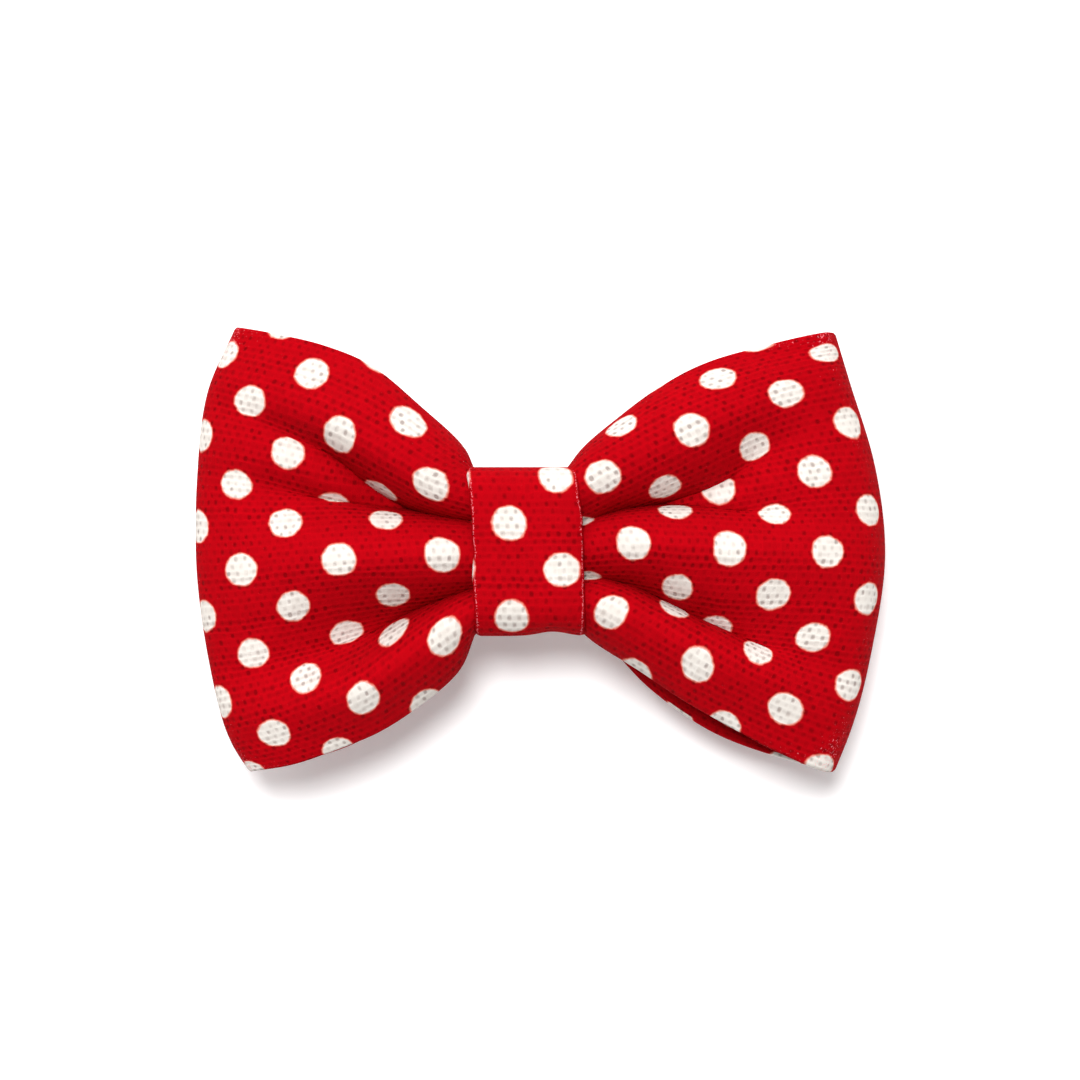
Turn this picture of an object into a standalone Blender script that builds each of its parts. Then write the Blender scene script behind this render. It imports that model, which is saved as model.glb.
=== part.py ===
# A small clip-on bow tie: a spotted cotton bow, its centre band and the sprung clip behind it.
# Metres, +Z up as it is worn, front towards -Y, +X to the right as seen from the front.
# The origin lies on the clip's grip plane, behind the middle of the bow.

import math

import bmesh
import bpy
from mathutils import Matrix, Vector

# The bow: one flat cotton tube, folded into a loop whose ends meet at the centre back
BOW_WIDTH = 0.0762
BOW_HEIGHT = 0.0498
WING_DEPTH = 0.0088
SIDE_CURVE = 0.0046  # how far the corners stay inside the widest point of a side fold
WING_SPREAD = 2.2  # how quickly a wing opens out from the band
CLOTH = 0.00025
INTERLINING = 0.0003
PLEAT_RISE = 0.0010  # half of a pleat's depth under the band
LAYER_SPACING = 0.0045  # front layer to back layer under the band
END_GAP = 0.0006  # between the tube's two ends

# The centre band and the threads
BAND_WIDTH = 0.0124
BAND_HEIGHT = 0.0184
BAND_PLY = 0.0008
BAND_CORNER = 0.0018
LAP_CLEAR = 0.00125  # from the clip's edge down to the edge of the band's lap
THREAD_RADIUS = 0.0002
WRAP_PITCH = 0.0006
WRAP_TURNS = 5
STITCH_RADIUS = 0.00015
STITCH_COUNT = 7
STITCH_REACH = 0.0010  # how far a stitch runs onto the cloth on each side of the lap's edge

# The clip, of sheet steel
STEEL = 0.0008
JAW_REACH = 0.0229  # from the bow's centre to the lever's teeth
TAIL_REACH = 0.0210  # from the bow's centre to the thumb end
BASE_WIDTH = 0.0075
LEVER_WIDTH = 0.0070
JAW_ARCH = 0.0022  # from the grip plane to the underside of the lever's flat
PIVOT_Y = 0.0026
LEVER_ABOVE_PIN = 0.0026
LEVER_SLOPE = math.radians(14.4)
EAR_THICKNESS = 0.0007
EAR_RADIUS = 0.0013
LIP_HEIGHT = 0.0012
TOOTH_PITCH = 0.0016
TOOTH_SIZE = 0.0008
PIN_RADIUS = 0.0008
PIN_HEAD_RADIUS = 0.0013
PIN_HEAD = 0.0005
PIN_CLEARANCE = 0.0001
SPRING_WIRE = 0.00025
SPRING_PITCH = 0.00062
SPRING_WHOLE_TURNS = 2
SPRING_LEG = 0.0060
TACK_RADIUS = 0.0011
TACK_HOLE = 0.00055
TACK_INSET = 0.00175  # from the plate's edge to a sewing hole
TACK_CLEAR = 0.0017  # from the band's edge to a sewing hole
PIVOT_CLEAR = 0.0026  # from a sewing hole out to the pivot

GAP = 0.0003  # kept between pieces that touch on the real thing

# The stack of layers, worked out from the sizes above; y runs from the front (-) to the back (+)
TUBE = 2 * CLOTH + 2 * GAP + INTERLINING
CREST = 1.25 * TUBE / 2  # half of the tube, measured straight through a pleat's crest
EDGE_TILT = 0.7 * TUBE / 2  # how far a free edge's corner leans past its middle line
WING_BACK = -(STEEL + GAP) - TUBE / 2
WING_FRONT = WING_BACK - (WING_DEPTH - TUBE)
WAIST_BACK = -(STEEL + 2 * GAP + 2 * THREAD_RADIUS) - CREST - PLEAT_RISE
WAIST_FRONT = WAIST_BACK - LAYER_SPACING
WRAP_BACK = WAIST_BACK + PLEAT_RISE + CREST + GAP + THREAD_RADIUS
WRAP_FRONT = WAIST_FRONT - PLEAT_RISE - CREST - GAP - THREAD_RADIUS
BAND_FRONT = WRAP_FRONT - THREAD_RADIUS - GAP - BAND_PLY / 2
BAND_BACK = GAP + BAND_PLY / 2
NECK_HALF = BAND_HEIGHT / 2 - BAND_PLY - GAP - EDGE_TILT
WAIST_HALF = NECK_HALF - GAP - 2 * THREAD_RADIUS
WRAP_HALF = WAIST_HALF + EDGE_TILT + GAP + THREAD_RADIUS
WRAP_SPAN = WRAP_TURNS * WRAP_PITCH
LAP_EDGE = -(BASE_WIDTH / 2 + LAP_CLEAR)
PIVOT_X = -(BAND_WIDTH / 2 + TACK_CLEAR + PIVOT_CLEAR)
FOLD_RADIUS = (WING_BACK - WING_FRONT) / 2

# How finely the bow's surface is divided
NECK_STEPS = 3
SIDE_STEPS = 6
FOLD_STEPS = 5
HEIGHT_STEPS = 12
PLEATS = 3


def clear_scene():
    for obj in list(bpy.data.objects):
        bpy.data.objects.remove(obj, do_unlink=True)


def make_collection(name):
    collection = bpy.data.collections.new(name)
    bpy.context.scene.collection.children.link(collection)
    return collection


def make_material(name, color, roughness, metallic=0.0):
    material = bpy.data.materials.new(name)
    material.use_nodes = True
    shader = material.node_tree.nodes["Principled BSDF"]
    shader.inputs["Base Color"].default_value = (*color, 1)
    shader.inputs["Roughness"].default_value = roughness
    shader.inputs["Metallic"].default_value = metallic
    material.diffuse_color = (*color, 1)
    return material


def add_object(name, data, collection, material=None):
    obj = bpy.data.objects.new(name, data)
    collection.objects.link(obj)
    if material:
        data.materials.append(material)
    return obj


def mesh_from(bm, name):
    mesh = bpy.data.meshes.new(name)
    bm.to_mesh(mesh)
    bm.free()
    return mesh


def made_mesh(obj):
    """The object's mesh with its modifiers, welded and in world space; the object itself is removed."""
    graph = bpy.context.evaluated_depsgraph_get()
    mesh = bpy.data.meshes.new_from_object(obj.evaluated_get(graph))
    bm = bmesh.new()
    bm.from_mesh(mesh)
    bm.transform(obj.matrix_world)
    bmesh.ops.remove_doubles(bm, verts=bm.verts, dist=0.000001)
    bm.to_mesh(mesh)
    bm.free()
    bpy.data.objects.remove(obj, do_unlink=True)
    return mesh


def solidify(obj, thickness, offset):
    modifier = obj.modifiers.new("Solidify", "SOLIDIFY")
    modifier.thickness = thickness
    modifier.offset = offset
    modifier.use_even_offset = True
    return modifier


def boolean(obj, other, operation):
    modifier = obj.modifiers.new(other.name, "BOOLEAN")
    modifier.operation = operation
    modifier.solver = "EXACT"
    modifier.object = other
    return modifier


def hide_tool(obj):
    obj.hide_render = True
    obj.display_type = "WIRE"


def blend(start, end, share):
    return start + (end - start) * share


def ease(share):
    share = min(max(share, 0.0), 1.0)
    return share * share * (3 - 2 * share)


def arc(center, radius, start, end, steps):
    """Points of an arc in a plane, its angles in degrees."""
    points = []
    for step in range(steps + 1):
        angle = math.radians(blend(start, end, step / steps))
        points.append((center[0] + radius * math.cos(angle), center[1] + radius * math.sin(angle)))
    return points


def wire(name, points, radius, collection, material):
    """A round wire or thread through the points."""
    curve = bpy.data.curves.new(name, "CURVE")
    curve.dimensions = "3D"
    curve.bevel_depth = radius
    curve.bevel_resolution = 2
    curve.use_fill_caps = True
    spline = curve.splines.new("POLY")
    spline.points.add(len(points) - 1)
    for place, point in zip(spline.points, points):
        place.co = (*point, 1)
    return add_object(name, curve, collection, material)


def strip(name, path, across, width, collection, material, thickness):
    """A strip of sheet: its path, swept by its width along the direction across and thickened."""
    bm = bmesh.new()
    start = [bm.verts.new(Vector(point) - across * width / 2) for point in path]
    edges = [bm.edges.new(pair) for pair in zip(start, start[1:])]
    swept = bmesh.ops.extrude_edge_only(bm, edges=edges)["geom"]
    moved = [item for item in swept if isinstance(item, bmesh.types.BMVert)]
    bmesh.ops.translate(bm, verts=moved, vec=across * width)
    obj = add_object(name, mesh_from(bm, name), collection, material)
    solidify(obj, thickness, 0)
    return obj


# The bow


def half_height(x):
    """Half of the bow's height at a distance x from its centre."""
    pinch = ease((x - WRAP_SPAN / 2 - THREAD_RADIUS) / (BAND_WIDTH / 2 - WRAP_SPAN / 2))
    start = BAND_WIDTH / 2 + GAP
    spread = max(x - start, 0) / (BOW_WIDTH / 2 - SIDE_CURVE - start)
    wing = (BOW_HEIGHT / 2 - NECK_HALF) * (1 - (1 - min(spread, 1)) ** WING_SPREAD)
    return blend(WAIST_HALF, NECK_HALF, pinch) + wing


def layer_y(x, height, front):
    """How far forward a layer of the bow lies; height runs from -1 at its lower edge to 1."""
    half = BOW_WIDTH / 2
    out = x - BAND_WIDTH / 2
    open_share = ease(out / (0.4 * half))
    pleat = -math.cos(PLEATS * math.pi * height)
    if front:
        fade = 1 - ease((x - 0.35 * half) / (0.5 * half))
        rise = PLEAT_RISE * (1 + 0.5 * open_share) * fade
        return blend(WAIST_FRONT, WING_FRONT, open_share) + rise * pleat
    fade = 1 - ease(out / (0.2 * half))
    return blend(WAIST_BACK, WING_BACK, open_share) + PLEAT_RISE * fade * pleat


def flat_x(station, start, fold):
    """Where a station of the front or back layer stands: a few under the band, the rest out to the fold."""
    neck = BAND_WIDTH / 2 + GAP
    if station <= NECK_STEPS:
        return blend(start, neck, station / NECK_STEPS)
    return blend(neck, fold, (station - NECK_STEPS) / SIDE_STEPS)


def bow_point(station, height):
    """A point of the right half of the tube's middle surface. The stations run from the centre back
    out to the side fold and along the front to the centre."""
    fold = BOW_WIDTH / 2 - TUBE / 2 - FOLD_RADIUS - SIDE_CURVE * abs(height) ** WING_SPREAD
    layer_steps = NECK_STEPS + SIDE_STEPS
    past_back = station - layer_steps
    if past_back <= 0:
        x = flat_x(station, END_GAP / 2, fold)
        return Vector((x, layer_y(x, height, False), height * half_height(x)))
    if past_back < FOLD_STEPS:
        angle = math.pi * past_back / FOLD_STEPS
        x = fold + FOLD_RADIUS * math.sin(angle)
        y = (WING_FRONT + WING_BACK) / 2 + FOLD_RADIUS * math.cos(angle)
        return Vector((x, y, height * half_height(fold)))
    x = flat_x(layer_steps + FOLD_STEPS + layer_steps - station, 0, fold)
    return Vector((x, layer_y(x, height, True), height * half_height(x)))


def bow_layer(name, collection, trim=0.0):
    """The tube's middle surface as an open mesh, cut back by trim along its free edges."""
    stations = 2 * (NECK_STEPS + SIDE_STEPS) + FOLD_STEPS
    bm = bmesh.new()
    bmesh.ops.create_grid(bm, x_segments=stations, y_segments=HEIGHT_STEPS, size=1)
    for vert in bm.verts:
        station = round((vert.co.x + 1) / 2 * stations)
        height = vert.co.y
        point = bow_point(station, height)
        if abs(height) > 1 - 1 / HEIGHT_STEPS:
            inward = bow_point(station, height * (1 - 2 / HEIGHT_STEPS)) - point
            point += inward.normalized() * trim
        if station == 0:
            point.x += trim
        vert.co = point
    obj = add_object(name, mesh_from(bm, name), collection)
    mirror = obj.modifiers.new("Mirror", "MIRROR")
    mirror.merge_threshold = 0.00001
    return obj


def make_bow(parts, cotton, felt):
    # The layer is thickened to the whole tube, opened at its two ends, then given the cloth's wall.
    mesh = bow_layer("bow_cloth_block", parts)
    solidify(mesh, TUBE, 0)
    mesh = made_mesh(mesh)
    bm = bmesh.new()
    bm.from_mesh(mesh)
    ends = [face for face in bm.faces if all(abs(vert.co.x) < END_GAP for vert in face.verts)]
    ends = [face for face in ends if abs(face.normal.x) > 0.5]
    bmesh.ops.delete(bm, geom=ends, context="FACES")
    bm.to_mesh(mesh)
    bm.free()
    cloth = add_object("bow_cloth", mesh, parts, cotton)
    solidify(cloth, CLOTH, -1)
    cloth.data.shade_smooth()

    lining = bow_layer("bow_interlining", parts, CLOTH + GAP)
    lining.data.materials.append(felt)
    solidify(lining, INTERLINING, 0)
    return cloth, lining


# The band and the threads


def make_waist_thread(parts, thread):
    """The binding that holds the pleats, wound round the waist under the band."""
    half_y = (WRAP_BACK - WRAP_FRONT) / 2
    corner = 3 * THREAD_RADIUS + GAP
    turn = []
    for side_y, side_z, start in ((1, 1, 0), (-1, 1, 90), (-1, -1, 180), (1, -1, 270)):
        center = (side_y * (half_y - corner), side_z * (WRAP_HALF - corner))
        turn += arc(center, corner, start, start + 90, 2)
    points = []
    count = len(turn) * WRAP_TURNS
    for step in range(count):
        y, z = turn[step % len(turn)]
        x = WRAP_SPAN * (step / (count - 1) - 0.5)
        points.append((x, (WRAP_BACK + WRAP_FRONT) / 2 + y, z))
    return wire("waist_thread", points, THREAD_RADIUS, parts, thread)


def make_band(parts, cotton):
    """One strip round the waist, its end lapped over its start low on the back."""
    edge = BAND_HEIGHT / 2 - BAND_PLY / 2
    turn = edge - BAND_CORNER
    lapped = BAND_BACK + BAND_PLY + GAP
    path = [(BAND_BACK, -turn)]
    path += arc((BAND_BACK - BAND_CORNER, turn), BAND_CORNER, 0, 90, 4)
    path += arc((BAND_FRONT + BAND_CORNER, turn), BAND_CORNER, 90, 180, 4)
    path += arc((BAND_FRONT + BAND_CORNER, -turn), BAND_CORNER, 180, 270, 4)
    path += arc((lapped - BAND_CORNER, -turn), BAND_CORNER, 270, 360, 4)
    path.append((lapped, LAP_EDGE))
    path = [(0, y, z) for y, z in path]
    return strip("centre_band", path, Vector((1, 0, 0)), BAND_WIDTH, parts, cotton, BAND_PLY)


def make_band_stitches(parts, thread):
    """Hand stitches over the edge of the band's lap."""
    under = BAND_BACK + BAND_PLY / 2 + GAP + STITCH_RADIUS
    over = under + BAND_PLY + GAP
    shoulder = LAP_EDGE + GAP + STITCH_RADIUS
    reach = [
        (over, LAP_EDGE - STITCH_REACH),
        (over, LAP_EDGE),
        (blend(over, under, 0.4), shoulder),
        (under, shoulder + STITCH_RADIUS),
        (blend(over, under, 0.4), shoulder),
        (over, LAP_EDGE),
    ]
    count = len(reach) * STITCH_COUNT
    width = BAND_WIDTH - 6 * GAP
    points = []
    for step in range(count):
        y, z = reach[step % len(reach)]
        points.append((width * (step / (count - 1) - 0.5), y, z))
    return wire("band_stitches", points, STITCH_RADIUS, parts, thread)


# The clip


def make_ear(name, direction, length, z, tools):
    """A rounded ear about the pivot: it ends a given length away in the direction given."""
    turned = math.degrees(math.atan2(direction.y, direction.x))
    outline = arc((0, 0), EAR_RADIUS, turned + 90, turned + 270, 10)
    side = Vector((direction.y, -direction.x))
    outline += [tuple(direction * length + side * EAR_RADIUS), tuple(direction * length - side * EAR_RADIUS)]
    curve = bpy.data.curves.new(name, "CURVE")
    curve.dimensions = "2D"
    curve.fill_mode = "BOTH"
    curve.extrude = EAR_THICKNESS / 2
    spline = curve.splines.new("POLY")
    spline.points.add(len(outline) - 1)
    spline.use_cyclic_u = True
    for place, point in zip(spline.points, outline):
        place.co = (*point, 0, 1)
    flat = add_object(name, curve, tools)
    flat.location = (PIVOT_X, PIVOT_Y, z)
    bpy.context.view_layer.update()
    ear = add_object(name, made_mesh(flat), tools)
    hide_tool(ear)
    return ear


def make_rod_tool(name, radius, depth, places, turn, tools):
    """Round cutters at the places given, turned from +Z by the matrix turn."""
    bm = bmesh.new()
    for place in places:
        bmesh.ops.create_cone(bm, cap_ends=True, segments=24, radius1=radius, radius2=radius, depth=depth,
                              matrix=Matrix.Translation(place) @ turn)
    rod = add_object(name, mesh_from(bm, name), tools)
    hide_tool(rod)
    return rod


def make_notch_tool(name, x, y, count, tools):
    """A row of square bars on edge, which cut the teeth of a lip."""
    bm = bmesh.new()
    for index in range(count):
        z = (index - (count - 1) / 2) * TOOTH_PITCH
        place = Matrix.Translation((x, y, z)) @ Matrix.Rotation(math.radians(45), 4, "X")
        size = Matrix.Diagonal((4 * STEEL, TOOTH_SIZE, TOOTH_SIZE, 1))
        bmesh.ops.create_cube(bm, size=1, matrix=place @ size)
    notches = add_object(name, mesh_from(bm, name), tools)
    hide_tool(notches)
    return notches


def lever_line(x):
    """Height of the lever's middle surface over its sloping tail."""
    above = PIVOT_Y + LEVER_ABOVE_PIN / math.cos(LEVER_SLOPE)
    return above - (x - PIVOT_X) * math.tan(LEVER_SLOPE)


def make_base_jaw(parts, tools, steel):
    """The flat jaw behind the bow, with two ears for the pin and a toothed lip."""
    lip_x = JAW_REACH + 2 * STEEL
    path = [(-TAIL_REACH, -STEEL / 2), (lip_x - STEEL, -STEEL / 2)]
    path += [(lip_x - 0.3 * STEEL, -0.2 * STEEL), (lip_x, 0.4 * STEEL), (lip_x, LIP_HEIGHT)]
    path = [(x, y, 0) for x, y in path]
    jaw = strip("clip_base_jaw", path, Vector((0, 0, 1)), BASE_WIDTH, parts, steel, STEEL)
    for side in (-1, 1):
        z = side * (BASE_WIDTH / 2 - EAR_THICKNESS / 2)
        ear = make_ear("base_ear", Vector((0, -1)), PIVOT_Y + STEEL / 2, z, tools)
        boolean(jaw, ear, "UNION")
    pin_hole = make_rod_tool("base_pin_hole", PIN_RADIUS + PIN_CLEARANCE, 2 * BASE_WIDTH,
                             [(PIVOT_X, PIVOT_Y, 0)], Matrix.Identity(4), tools)
    boolean(jaw, pin_hole, "DIFFERENCE")
    places = [(x, 0, side * (BASE_WIDTH / 2 - TACK_INSET)) for x in tack_places() for side in (-1, 1)]
    holes = make_rod_tool("tack_holes", TACK_HOLE, 4 * STEEL, places, Matrix.Rotation(math.radians(90), 4, "X"), tools)
    boolean(jaw, holes, "DIFFERENCE")
    boolean(jaw, make_notch_tool("base_notches", lip_x, LIP_HEIGHT, 4, tools), "DIFFERENCE")
    return jaw


def make_lever_jaw(parts, tools, steel):
    """The sprung jaw on the wearer's side: a sloping thumb end, an arched flat and a toothed lip."""
    flat = JAW_ARCH + STEEL / 2
    bend = PIVOT_X + 0.002
    path = [(-TAIL_REACH, lever_line(-TAIL_REACH)), (bend, lever_line(bend))]
    path += [(blend(bend, 0, 0.5), blend(lever_line(bend), flat, 0.75)), (0.001, flat)]
    path += [(JAW_REACH - 0.004, flat), (JAW_REACH - 0.0008, flat - 0.0005)]
    path += [(JAW_REACH, flat - 0.0012), (JAW_REACH, GAP)]
    path = [(x, y, 0) for x, y in path]
    jaw = strip("clip_lever_jaw", path, Vector((0, 0, 1)), LEVER_WIDTH, parts, steel, STEEL)
    direction = Vector((math.sin(LEVER_SLOPE), math.cos(LEVER_SLOPE)))
    for side in (-1, 1):
        z = side * (BASE_WIDTH / 2 - 1.5 * EAR_THICKNESS - GAP)
        boolean(jaw, make_ear("lever_ear", direction, LEVER_ABOVE_PIN, z, tools), "UNION")
    pin_hole = make_rod_tool("lever_pin_hole", PIN_RADIUS + PIN_CLEARANCE, 2 * BASE_WIDTH,
                             [(PIVOT_X, PIVOT_Y, 0)], Matrix.Identity(4), tools)
    boolean(jaw, pin_hole, "DIFFERENCE")
    boolean(jaw, make_notch_tool("lever_notches", JAW_REACH, GAP, 3, tools), "DIFFERENCE")
    return jaw


def make_pin(parts, steel):
    """A riveted pin through the four ears, turned about its own axis."""
    head = BASE_WIDTH / 2 + GAP
    end = head + PIN_HEAD
    profile = [(0, end), (0.7 * PIN_HEAD_RADIUS, end), (PIN_HEAD_RADIUS, head + 0.3 * PIN_HEAD),
               (PIN_HEAD_RADIUS, head), (PIN_RADIUS, head)]
    profile += [(r, -z) for r, z in reversed(profile)]
    bm = bmesh.new()
    verts = [bm.verts.new((r, 0, z)) for r, z in profile]
    for pair in zip(verts, verts[1:]):
        bm.edges.new(pair)
    pin = add_object("clip_pivot_pin", mesh_from(bm, "clip_pivot_pin"), parts, steel)
    screw = pin.modifiers.new("Screw", "SCREW")
    screw.steps = 24
    screw.render_steps = 24
    screw.use_merge_vertices = True
    screw.merge_threshold = 0.00001
    return pin


def make_spring(parts, steel):
    """A torsion coil round the pin, with one leg on the base and one under the lever's thumb end."""
    radius = PIN_RADIUS + GAP + SPRING_WIRE
    end_x = PIVOT_X - SPRING_LEG
    turns = SPRING_WHOLE_TURNS + 0.5
    half = SPRING_PITCH * turns / 2
    reach = (STEEL / 2 + GAP + SPRING_WIRE) / math.cos(LEVER_SLOPE)
    points = [(end_x, GAP + SPRING_WIRE, -half)]
    steps = round(12 * turns)
    for step in range(steps + 1):
        angle = math.radians(blend(-90, -90 + 360 * turns, step / steps))
        points.append((PIVOT_X + radius * math.cos(angle), PIVOT_Y + radius * math.sin(angle),
                       blend(-half, half, step / steps)))
    points.append((end_x, lever_line(end_x) - reach, half))
    return wire("clip_spring", points, SPRING_WIRE, parts, steel)


def tack_places():
    """The sewing holes stand this far out from the bow's centre, past the band's edges."""
    return (-BAND_WIDTH / 2 - TACK_CLEAR, BAND_WIDTH / 2 + TACK_CLEAR)


def make_tacks(parts, thread):
    """Loops of thread through the base's sewing holes and round its edges."""
    tacks = []
    for x, side_name in zip(tack_places(), ("left", "right")):
        for side, level in ((-1, "lower"), (1, "upper")):
            z = side * (BASE_WIDTH / 2 - TACK_INSET + TACK_RADIUS)
            bpy.ops.mesh.primitive_torus_add(major_radius=TACK_RADIUS, minor_radius=THREAD_RADIUS,
                                             major_segments=20, minor_segments=8,
                                             location=(x, -STEEL / 2, z), rotation=(0, math.radians(90), 0))
            tack = bpy.context.active_object
            tack.name = f"clip_tack_{side_name}_{level}"
            tack.data.materials.append(thread)
            for collection in list(tack.users_collection):
                collection.objects.unlink(tack)
            parts.objects.link(tack)
            tacks.append(tack)
    return tacks


def main():
    clear_scene()
    parts = make_collection("bow_tie")
    tools = make_collection("cutters")
    cotton = make_material("red_cotton", (0.48, 0.002, 0.006), 0.85)
    felt = make_material("interlining", (0.75, 0.73, 0.68), 0.95)
    thread = make_material("red_thread", (0.40, 0.004, 0.008), 0.7)
    steel = make_material("nickelled_steel", (0.72, 0.70, 0.66), 0.28, 1.0)

    make_bow(parts, cotton, felt)
    make_waist_thread(parts, thread)
    make_band(parts, cotton)
    make_band_stitches(parts, thread)
    make_tacks(parts, thread)

    pivot = bpy.data.objects.new("clip_pivot", None)
    pivot.location = (PIVOT_X, PIVOT_Y, 0)
    parts.objects.link(pivot)
    make_base_jaw(parts, tools, steel)
    lever = make_lever_jaw(parts, tools, steel)
    pin = make_pin(parts, steel)
    make_spring(parts, steel)
    pin.parent = pivot
    bpy.context.view_layer.update()
    lever.parent = pivot
    lever.matrix_parent_inverse = pivot.matrix_world.inverted()


main()
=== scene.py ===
import math

import bmesh
import bpy
import numpy as np
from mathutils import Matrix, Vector, noise


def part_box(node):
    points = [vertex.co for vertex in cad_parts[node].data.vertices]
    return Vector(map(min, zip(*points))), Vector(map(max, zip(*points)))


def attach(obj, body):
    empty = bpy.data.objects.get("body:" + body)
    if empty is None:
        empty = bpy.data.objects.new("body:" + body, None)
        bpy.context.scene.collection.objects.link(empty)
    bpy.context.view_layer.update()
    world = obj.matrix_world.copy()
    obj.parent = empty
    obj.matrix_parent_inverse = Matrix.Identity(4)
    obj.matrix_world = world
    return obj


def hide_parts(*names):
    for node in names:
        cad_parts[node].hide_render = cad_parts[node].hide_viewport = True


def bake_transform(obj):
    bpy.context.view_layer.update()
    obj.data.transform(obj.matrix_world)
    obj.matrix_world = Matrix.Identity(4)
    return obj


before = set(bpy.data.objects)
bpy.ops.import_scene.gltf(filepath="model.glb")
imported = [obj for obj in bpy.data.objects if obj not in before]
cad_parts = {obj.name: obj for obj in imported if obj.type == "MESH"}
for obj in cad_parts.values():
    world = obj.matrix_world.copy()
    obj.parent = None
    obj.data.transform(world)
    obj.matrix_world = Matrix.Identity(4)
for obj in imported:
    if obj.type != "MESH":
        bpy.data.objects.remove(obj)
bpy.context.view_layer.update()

mm = 0.001

print("camera and light")

studio = {
    "lens": 150,
    "sensor": 36,
    "viewPlane": -10.0,  # the plane the framing is set for, in mm
    "viewWidth": 120.1,
    "aim": (-0.1, 1.3),
    "backdropBehind": 9.0,
    "backdropSize": 3.0,
    "backdropGlow": 0.12,
    "backdropTones": ((0.93, 0.93, 0.93, 1), (0.96, 0.96, 0.96, 1)),
    "worldStrength": 0.42,
    "lights": (
        # name, place, size, power, in metres and watts
        ("topLight", (-0.12, -0.66, 0.60), 1.10, 7.0),
        ("frontKey", (-0.06, -0.90, 0.20), 0.24, 7.0),
        ("backFill", (-0.30, 0.70, 0.35), 0.60, 3.0),
    ),
}


def makeCamera():
    distance = studio["viewWidth"] * studio["lens"] / studio["sensor"]
    data = bpy.data.cameras.new("camera")
    data.lens = studio["lens"]
    data.sensor_width = studio["sensor"]
    data.clip_start = 0.01
    camera = bpy.data.objects.new("camera", data)
    x, z = studio["aim"]
    camera.location = (x * mm, (studio["viewPlane"] - distance) * mm, z * mm)
    camera.rotation_euler = (math.radians(90), 0, 0)
    bpy.context.scene.collection.objects.link(camera)
    bpy.context.scene.camera = camera


def makeLights():
    for name, place, size, power in studio["lights"]:
        data = bpy.data.lights.new(name, "AREA")
        data.shape = "DISK"
        data.size = size
        data.energy = power
        light = bpy.data.objects.new(name, data)
        light.location = place
        light.rotation_euler = (-Vector(place)).to_track_quat("-Z", "Y").to_euler()
        bpy.context.scene.collection.objects.link(light)
    world = bpy.data.worlds.new("paleRoom")
    world.use_nodes = True
    room = world.node_tree.nodes["Background"].inputs
    room["Color"].default_value = (1, 1, 1, 1)
    room["Strength"].default_value = studio["worldStrength"]
    bpy.context.scene.world = world


def feed(tree, value, socket):
    if isinstance(value, bpy.types.NodeSocket):
        tree.links.new(value, socket)
    elif value is not None:
        socket.default_value = value


def addNode(tree, kind, settings=None, **inputs):
    node = tree.nodes.new(kind)
    for key, value in (settings or {}).items():
        setattr(node, key, value)
    for key, value in inputs.items():
        feed(tree, value, node.inputs[key])
    return node


def calc(tree, operation, *values):
    node = tree.nodes.new("ShaderNodeMath")
    node.operation = operation
    for value, socket in zip(values, node.inputs):
        feed(tree, value, socket)
    return node.outputs[0]


def vectorCalc(tree, operation, *values):
    node = tree.nodes.new("ShaderNodeVectorMath")
    node.operation = operation
    for value, socket in zip(values, node.inputs):
        feed(tree, value, socket)
    return node.outputs["Value" if operation == "LENGTH" else "Vector"]


def objectPlace(tree):
    return addNode(tree, "ShaderNodeTexCoord").outputs["Object"]


def rampBetween(tree, value, low, high, outLow=0.0, outHigh=1.0):
    node = tree.nodes.new("ShaderNodeMapRange")
    node.interpolation_type = "SMOOTHSTEP"
    names = ("Value", "From Min", "From Max", "To Min", "To Max")
    for key, item in zip(names, (value, low, high, outLow, outHigh)):
        feed(tree, item, node.inputs[key])
    return node.outputs["Result"]


def product(tree, first, *others):
    for other in others:
        first = calc(tree, "MULTIPLY", first, other)
    return first


def cloudy(tree, place, scale, detail, **settings):
    return addNode(tree, "ShaderNodeTexNoise", settings, Vector=place, Scale=scale, Detail=detail).outputs


def scatter(tree, dimensions, **inputs):
    # one random value for each whole number that it gets
    return addNode(tree, "ShaderNodeTexWhiteNoise", {"noise_dimensions": dimensions}, **inputs).outputs["Value"]


def xyz(tree, x, y, z):
    return addNode(tree, "ShaderNodeCombineXYZ", X=x, Y=y, Z=z).outputs[0]


def mixColor(tree, share, first, second, blend="MIX"):
    node = tree.nodes.new("ShaderNodeMix")
    node.data_type = "RGBA"
    node.blend_type = blend
    feed(tree, share, node.inputs[0])
    feed(tree, first, node.inputs[6])
    feed(tree, second, node.inputs[7])
    return node.outputs[2]


def startGroup(name, inputs, outputs):
    group = bpy.data.node_groups.new(name, "ShaderNodeTree")
    for way, sockets in (("INPUT", inputs), ("OUTPUT", outputs)):
        for socketName, kind in sockets:
            group.interface.new_socket(socketName, in_out=way, socket_type="NodeSocket" + kind)
    entry = group.nodes.new("NodeGroupInput")
    leave = group.nodes.new("NodeGroupOutput")
    return group, entry.outputs, leave.inputs


def placeGroup(tree, group, **inputs):
    node = tree.nodes.new("ShaderNodeGroup")
    node.node_tree = group
    for key, value in inputs.items():
        feed(tree, value, node.inputs[key])
    return node.outputs


print("shader groups")


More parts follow.
